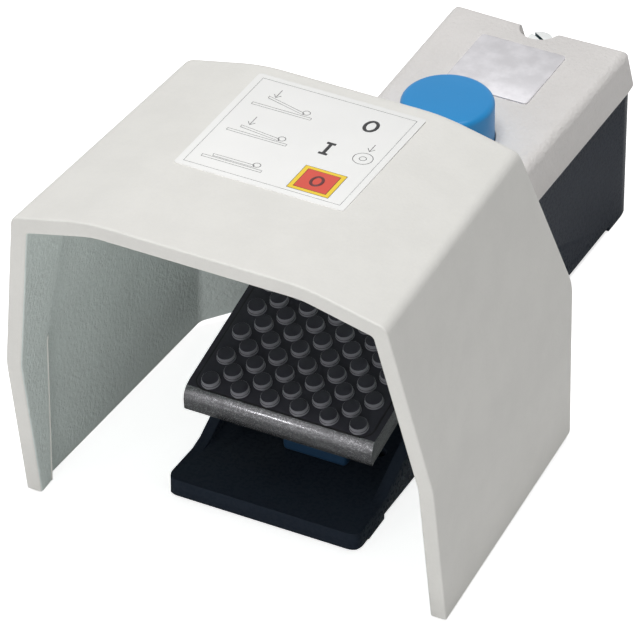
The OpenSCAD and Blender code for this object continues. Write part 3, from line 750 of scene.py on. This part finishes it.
# The mat's body and its narrower tongue towards the hinge
def matSheet():
    bm = roundBox((-mat["half"], mat["front"], -mat["thick"]), (mat["half"], mat["rear"], mat["proud"]))
    corners = [e for e in uprightEdges(bm) if e.verts[0].co.y < mat["rear"] * mm * 0.5]
    bevelEdges(bm, corners, mat["corner"], 8)
    bevelEdges(bm, [e for e in sharpEdges(bm, 60) if all(v.co.z > 0 for v in e.verts)], mat["edge"], 3)
    merge(bm, roundBox((-mat["tongueHalf"], mat["rear"] - mat["tongueLap"], -mat["thick"]),
                       (mat["tongueHalf"], mat["tongueEnd"], mat["proud"] - mat["tongueLow"])))
    return bm


# Thin skin that spreads the mat over the plate, inside a fine ring painted near black as the shade of a groove
def matSkin():
    middle, depth = (skin["rear"] + skin["front"]) / 2, (skin["rear"] - skin["front"]) / 2
    over = sheetPlate(skin["half"], depth, skin["top"], skin["corner"], skin["edge"])
    line = sheetPlate(skin["half"] + skin["groove"], depth + skin["groove"], skin["grooveTop"],
                      skin["corner"] + skin["groove"], skin["grooveEdge"])
    for face in line.faces:
        face.material_index = 2
    merge(over, line)
    bmesh.ops.translate(over, vec=(0, middle * mm, 0), verts=over.verts)
    return over


# Studs in two tiers, in staggered rows that narrow over the tongue
def addStuds(bm):
    r, foot, height, edge = stud["radius"], stud["foot"], stud["height"], stud["round"]
    inward, upward = stud["footChamfer"]
    profile = [(0, stud["footFrom"]), (foot, stud["footFrom"]), (foot, stud["footTop"]),
               (foot - inward, stud["footTop"] + upward), (r, stud["step"]), (r, height - edge)]
    profile += arc((r - edge, height - edge), edge, 0, 90, 3)[1:] + [(0, height - stud["dish"])]
    for row in range(stud["rows"]):
        y = stud["front"] + row * stud["row"]
        count = stud["short"] if row % 2 else stud["long"]
        if y > stud["narrowFrom"]:
            count -= 2
        for i in range(count):
            one = turned(profile, stud["steps"])
            for face in one.faces:
                # Upright faces take the paler rubber: a painted highlight on the stud sides
                face.material_index = 1 if abs(face.normal.z) < stud["flatNormal"] else 0
            spot = Vector(((i - (count - 1) / 2) * stud["pitch"], y, 0)) * mm
            bmesh.ops.translate(one, vec=spot, verts=one.verts)
            merge(bm, one)


bm = matSheet()
merge(bm, matSkin())
addStuds(bm)
addPiece("studMat", bm, "pedal", [matRubber, litStudSide, groovePaintedShade], ["pedal_mat"], 38, pedalPlace)
print("pedal made")


# node, its joint and the joint's travel, the spring's axis and whether its high end is the fixed one
springs = (("plunger_spring", "plunger_slide", 3.8, (0, 1, 0), True),
           ("knob_spring", "knob_slide", 3.0, (0, 0, 1), False))


# Each spring takes its node's place as a copy of its mesh in spring steel, with mesh data of its own
def springCoil(node, joint, travel, axis, highFixed):
    coil = addPiece(node + "Coil", nodeMesh(node, False), "base", [springSteel], [node], 60)
    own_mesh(coil)


for spring in springs:
    springCoil(*spring)

nodeFinish = {
    "lid_gasket": sealRubber, "hinge_pin": pinSteel, "pin_clips": clipSteel, "plunger_bush": brass,
    "plunger_seal": sealRubber, "contact_block_left": blockPlastic, "contact_block_right": blockPlastic,
    "fixed_contacts": brass, "terminal_screws": zincScrew, "block_screws": zincScrew, "earth_screw": zincScrew,
    "latch_bracket": bracketSteel, "latch_pin": pinSteel, "bracket_screws": zincScrew, "knob_guide": guidePlastic,
    "pedal_bushes": brass, "plunger": pinSteel, "plunger_yoke": yokePlastic, "contact_bridges": brass,
    "knob_stem": pinSteel, "stem_circlip": clipSteel, "latch_lever": bracketSteel}
for node, finish in nodeFinish.items():
    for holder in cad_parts[node].material_slots:
        holder.material = finish.material
print("packed nodes dressed")


studio = {"skyFill": 0.13, "floorSize": 6.0, "floorLow": 0.0002, "floorAlbedo": 0.9, "floorLift": 0.76,
          # name, power, size, reach in metres and the side it stands on
          "lamps": (("topPanel", 36.5, 1.5, 2.2, (0.0, -0.05, 0.95)),
                    ("frontPanel", 11.3, 1.0, 2.2, (0.15, -0.94, 0.24)),
                    ("edgeGlint", 2.6, 0.22, 2.2, (-0.365, -0.87, 0.329)))}


# White for rays that look straight at the backdrop or mirror it, level for the light it gives
def backdropRays(tree):
    rays = tree.nodes.new("ShaderNodeLightPath")
    seen = [Wire(tree, rays.outputs[kind]) for kind in ("Is Camera Ray", "Is Glossy Ray", "Is Transmission Ray")]
    return (seen[0] + seen[1] + seen[2]) > 0.5


# White card that the camera sees as plain white and that keeps the object's shadow
def makeFloor():
    bm = bmesh.new()
    bmesh.ops.create_grid(bm, x_segments=1, y_segments=1, size=studio["floorSize"] / 2)
    bmesh.ops.translate(bm, vec=(0, 0, -studio["floorLow"]), verts=bm.verts)
    mesh = bpy.data.meshes.new("studioFloor")
    bm.to_mesh(mesh)
    bm.free()
    floor = bpy.data.objects.new("studioFloor", mesh)
    bpy.context.scene.collection.objects.link(floor)
    card = Finish("studioCard", roughness=0.9, specular=0.0, baseColor=(*[studio["floorAlbedo"]] * 3, 1.0))
    seen = card.node("LightPath", out="Is Camera Ray")
    card.set(emissionColor=card.mix(seen, (0, 0, 0, 1), (1, 1, 1, 1)), emissionStrength=studio["floorLift"])
    mesh.materials.append(card.material)


def makeWorld():
    world = bpy.data.worlds.new("studioSky")
    bpy.context.scene.world = world
    world.use_nodes = True
    sky = world.node_tree.nodes["Background"]
    level = backdropRays(world.node_tree) * (1 - studio["skyFill"]) + studio["skyFill"]
    world.node_tree.links.new(level.socket, sky.inputs["Strength"])
    sky.inputs["Color"].default_value = (1, 1, 1, 1)


# Round panels that all face the middle of the floor
def makeLamps():
    for name, power, size, reach, side in studio["lamps"]:
        lamp = bpy.data.lights.new(name, "AREA")
        lamp.shape = "DISK"
        lamp.size = size
        lamp.energy = power
        holder = bpy.data.objects.new(name, lamp)
        back = Vector(side).normalized()
        holder.location = back * reach
        holder.rotation_euler = (-back).to_track_quat("-Z", "Y").to_euler()
        bpy.context.scene.collection.objects.link(holder)


view = {"azimuth": 26.89, "elevation": 36.12, "distance": 2.05, "lens": 332.7, "target": (-12.95, -20.83, 38.29)}


def makeCamera():
    az, el = math.radians(view["azimuth"]), math.radians(view["elevation"])
    back = Vector((math.sin(az) * math.cos(el), -math.cos(az) * math.cos(el), math.sin(el)))
    eye = bpy.data.cameras.new("productView")
    eye.lens = view["lens"]
    eye.sensor_width = 36
    eye.clip_end = 50
    holder = bpy.data.objects.new("productView", eye)
    holder.location = Vector(view["target"]) * mm + back * view["distance"]
    holder.rotation_euler = (-back).to_track_quat("-Z", "Y").to_euler()
    bpy.context.scene.collection.objects.link(holder)
    bpy.context.scene.camera = holder


makeFloor()
makeWorld()
makeLamps()
makeCamera()
bpy.context.scene.view_settings.view_transform = "Standard"
print("studio set")

bpy.context.view_layer.update()
